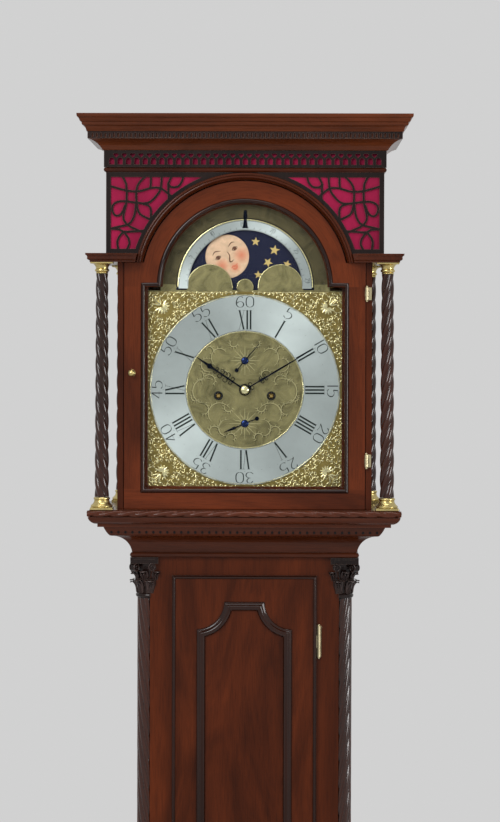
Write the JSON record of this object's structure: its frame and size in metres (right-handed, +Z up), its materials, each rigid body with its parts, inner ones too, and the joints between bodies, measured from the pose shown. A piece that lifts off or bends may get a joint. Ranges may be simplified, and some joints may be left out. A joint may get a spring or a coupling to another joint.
{
  "type": "longcase clock",
  "caption": "Longcase clock: flat-topped hood with twisted columns and an opening glazed door, arched moon dial, eight-day train, weights, seconds pendulum and hinged trunk door.",
  "frame": {"origin": "on the floor, under the middle of the case", "axes": "+X to the right as seen from the front, +Y towards the wall, +Z up; the front of the clock faces -Y"},
  "size_m": [0.552, 0.302, 2.237],
  "materials": {
    "mahogany": "dark french-polished mahogany",
    "mahogany_light": "figured french-polished mahogany",
    "carved_wood": "nearly black polished mahogany",
    "carcass_wood": "unpolished oak and pine",
    "silk": "crimson silk",
    "brass": "lacquered brass",
    "gilt": "gilt lacquered brass",
    "plate_brass": "matted and engraved brass",
    "silvered": "silvered brass, brushed",
    "blued_steel": "blued steel",
    "steel": "grey steel",
    "bell_metal": "cast bell metal",
    "glass": "clear window glass",
    "gut": "gut line",
    "moon_paint": "dark blue painted brass"
  },
  "bodies": {
    "case": {"backboard": "carcass_wood", "base_carcass": "carcass_wood", "base_panel": "mahogany", "plinth": "mahogany", "base_moulding": "mahogany", "trunk_sides": "mahogany", "trunk_front_frame": "mahogany", "trunk_quarter_columns": "mahogany", "trunk_capitals": "carved_wood", "waist_moulding": "mahogany", "seat_board": "carcass_wood", "trunk_hinge_case_leaves": "brass", "dial_plate": "plate_brass", "chapter_ring": "silvered", "dial_spandrels": "gilt", "moon_pointer": "blued_steel", "movement_frame": "brass", "bell": "bell_metal", "line_uppers": "gut", "going_line": "gut", "strike_line": "gut"},
    "trunk_door": {"trunk_door_board": "mahogany", "trunk_door_mouldings": "mahogany", "trunk_door_brasses": "brass"},
    "hood": {"hood_base_frame": "mahogany", "hood_sides": "mahogany", "hood_side_glass": "glass", "hood_mask": "mahogany_light", "upper_box": "carved_wood", "fret_silk": "silk", "blind_frets": "carved_wood", "hood_mouldings": "mahogany", "cornice": "mahogany", "cornice_dentils": "mahogany", "hood_top_board": "carcass_wood", "hood_columns": "mahogany", "hood_column_brasses": "brass", "hood_hinge_case_leaves": "brass"},
    "hood_door": {"hood_door_frame": "mahogany_light", "hood_door_glass": "glass", "hood_door_knob": "brass", "hood_door_hinge_leaves": "brass"},
    "centre_arbor": {"centre_wheel": "brass", "minute_hand": "blued_steel"},
    "motion_arbor": {"motion_wheel": "brass"},
    "hour_pipe": {"hour_wheel": "brass", "hour_hand": "blued_steel"},
    "third_arbor": {"third_wheel": "brass"},
    "escape_arbor": {"escape_wheel": "brass", "seconds_hand": "blued_steel"},
    "great_wheel": {"great_wheel": "brass"},
    "date_arbor": {"date_hand": "blued_steel"},
    "moon": {"moon_disc": "moon_paint"},
    "pendulum": {"pendulum": "brass"},
    "anchor": {"anchor": "steel"},
    "going_barrel": {"going_barrel": "brass"},
    "strike_barrel": {"strike_barrel": "brass"},
    "hammer": {"bell_hammer": "steel"},
    "going_weight": {"going_weight": "brass"},
    "strike_weight": {"strike_weight": "brass"}
  },
  "joints": [
    {"name": "trunk_door_swing", "type": "hinge", "parent": "case", "child": "trunk_door", "pos_m": [0.125, -0.0565, 1.061], "axis": [0, 0, 1], "range_deg": [0, 110]},
    {"name": "hood_slide", "type": "slide", "parent": "case", "child": "hood", "axis": [0, -1, 0], "range_m": [0, 0.3]},
    {"name": "hood_door_swing", "type": "hinge", "parent": "hood", "child": "hood_door", "pos_m": [0.202, -0.105, 1.8045], "axis": [0, 0, 1], "range_deg": [0, 110]},
    {"name": "minute_turn", "type": "hinge", "parent": "case", "child": "centre_arbor", "pos_m": [0, 0.001, 1.783], "axis": [0, 1, 0], "continuous": true},
    {"name": "motion_turn", "type": "hinge", "parent": "case", "child": "motion_arbor", "pos_m": [0, -0.049, 1.7506], "axis": [0, 1, 0], "continuous": true},
    {"name": "hour_turn", "type": "hinge", "parent": "case", "child": "hour_pipe", "pos_m": [0, -0.059, 1.783], "axis": [0, 1, 0], "continuous": true},
    {"name": "third_turn", "type": "hinge", "parent": "case", "child": "third_arbor", "pos_m": [0.01185, 0.001, 1.80936], "axis": [0, 1, 0], "continuous": true},
    {"name": "escape_turn", "type": "hinge", "parent": "case", "child": "escape_arbor", "pos_m": [0, 0.001, 1.8316], "axis": [0, 1, 0], "continuous": true},
    {"name": "great_turn", "type": "hinge", "parent": "case", "child": "great_wheel", "pos_m": [0.044, -0.029, 1.773], "axis": [0, 1, 0], "continuous": true},
    {"name": "date_turn", "type": "hinge", "parent": "case", "child": "date_arbor", "pos_m": [0, -0.074, 1.7266], "axis": [0, 1, 0], "continuous": true},
    {"name": "moon_turn", "type": "hinge", "parent": "case", "child": "moon", "pos_m": [0, -0.069, 1.954], "axis": [0, 1, 0], "continuous": true},
    {"name": "pendulum_swing", "type": "hinge", "parent": "case", "child": "pendulum", "pos_m": [0, 0.053, 1.86], "axis": [0, 1, 0], "range_deg": [-2.5, 2.5]},
    {"name": "anchor_rock", "type": "hinge", "parent": "case", "child": "anchor", "pos_m": [0, 0.001, 1.86], "axis": [0, 1, 0], "range_deg": [-2.6, 2.6]},
    {"name": "going_weight_travel", "type": "slide", "parent": "case", "child": "going_weight", "axis": [0, 0, 1], "range_m": [0, 0.85], "deforming": ["going_line"]},
    {"name": "strike_weight_travel", "type": "slide", "parent": "case", "child": "strike_weight", "axis": [0, 0, 1], "range_m": [0, 0.85], "deforming": ["strike_line"]},
    {"name": "going_barrel_wind", "type": "hinge", "parent": "case", "child": "going_barrel", "pos_m": [0.044, 0.001, 1.773], "axis": [0, 1, 0], "range_deg": [0, 3820]},
    {"name": "strike_barrel_wind", "type": "hinge", "parent": "case", "child": "strike_barrel", "pos_m": [-0.044, 0.001, 1.773], "axis": [0, 1, 0], "range_deg": [0, 3820]},
    {"name": "hammer_lift", "type": "hinge", "parent": "case", "child": "hammer", "pos_m": [0.052, -0.019, 1.85], "axis": [0, 1, 0], "range_deg": [0, 12]}
  ],
  "couplings": [
    {"joint": "motion_turn", "follows": "minute_turn", "ratio": -1},
    {"joint": "hour_turn", "follows": "minute_turn", "ratio": 0.083333},
    {"joint": "third_turn", "follows": "minute_turn", "ratio": -7.5},
    {"joint": "escape_turn", "follows": "minute_turn", "ratio": 60},
    {"joint": "great_turn", "follows": "minute_turn", "ratio": -0.083333},
    {"joint": "date_turn", "follows": "minute_turn", "ratio": 0.0013441},
    {"joint": "moon_turn", "follows": "minute_turn", "ratio": 0.00070621},
    {"joint": "anchor_rock", "follows": "pendulum_swing", "ratio": 1},
    {"joint": "going_barrel_wind", "follows": "going_weight_travel", "rad_per_m": 77.821},
    {"joint": "strike_barrel_wind", "follows": "strike_weight_travel", "rad_per_m": 77.821}
  ]
}
